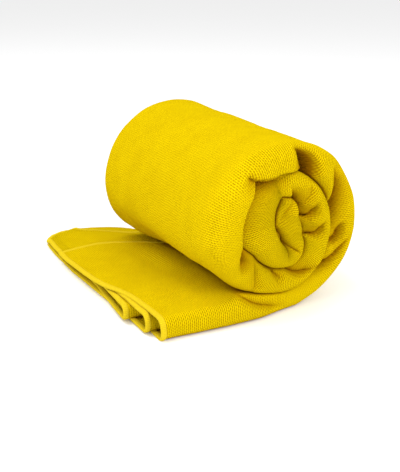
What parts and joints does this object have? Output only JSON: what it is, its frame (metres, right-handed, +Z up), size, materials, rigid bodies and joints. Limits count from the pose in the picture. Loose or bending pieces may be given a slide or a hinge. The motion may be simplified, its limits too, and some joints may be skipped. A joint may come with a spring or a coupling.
{
  "type": "rolled microfibre towel",
  "caption": "Ribbed microfibre towel, folded lengthwise and rolled up, with overlocked edges and its outer end lying open beside the roll.",
  "frame": {"origin": "on the resting surface, under the middle of the whole object", "axes": "+X across the roll, away from the open end; +Y along the roll from its near end to its far end; +Z up"},
  "size_m": [0.217, 0.287, 0.155],
  "materials": {
    "cloth": "matt ribbed microfibre terry",
    "thread": "dense overlock thread with a slight sheen"
  },
  "bodies": {
    "root": {"towel_cloth": "cloth", "outer_end_edging": "thread", "inner_end_edging": "thread", "top_side_edging": "thread", "far_side_edging": "thread"}
  },
  "joints": []
}
